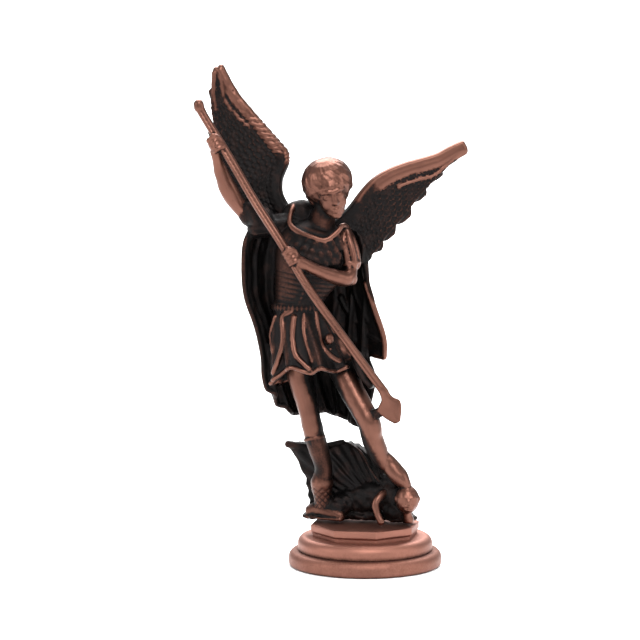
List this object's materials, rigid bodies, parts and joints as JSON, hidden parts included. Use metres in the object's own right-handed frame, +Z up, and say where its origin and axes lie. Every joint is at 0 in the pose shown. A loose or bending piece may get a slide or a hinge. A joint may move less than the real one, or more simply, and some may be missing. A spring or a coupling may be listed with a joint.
{
  "type": "archangel statuette",
  "caption": "Small cast statuette of a winged archangel in cape and armour, spear driven down at a fallen demon, on a stepped round base with an eight-sided plinth.",
  "frame": {"origin": "middle of the base's flat underside", "axes": "+Z up, -Y the front that the figure faces, +X to the viewer's right"},
  "size_m": [0.0538, 0.0302, 0.0984],
  "materials": {
    "antique_copper": "antiqued copper plate, dark patina in the recesses, rubbed bright on the high places",
    "bright_copper": "satin copper plate"
  },
  "bodies": {
    "root": {"angel_group": "antique_copper", "stepped_base": "bright_copper"}
  },
  "joints": []
}
